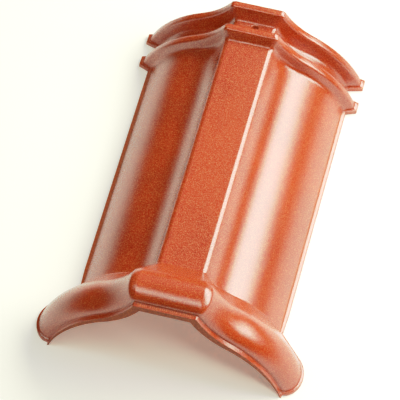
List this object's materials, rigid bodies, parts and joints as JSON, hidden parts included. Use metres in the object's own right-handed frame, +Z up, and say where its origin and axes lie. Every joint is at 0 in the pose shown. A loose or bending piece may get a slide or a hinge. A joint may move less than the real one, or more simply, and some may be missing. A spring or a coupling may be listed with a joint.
{
  "type": "ridge tile",
  "caption": "Glazed clay ridge tile: a hollow saddle with a flat strip on top, a rolled collar at one end, and ribs with a screw hole at the other.",
  "frame": {"origin": "centre of the footprint, on the plane of the two rims that the tile stands on", "axes": "+Z up from the rims to the flat strip, +Y along the tile from the collar's front face to the screw-hole end, +X across"},
  "size_m": [0.2606, 0.377, 0.117],
  "materials": {
    "glazed_clay": "fired clay with a glossy copper-red glaze and a fine speckle."
  },
  "bodies": {
    "root": {"ridge_tile": "glazed_clay"}
  },
  "joints": []
}
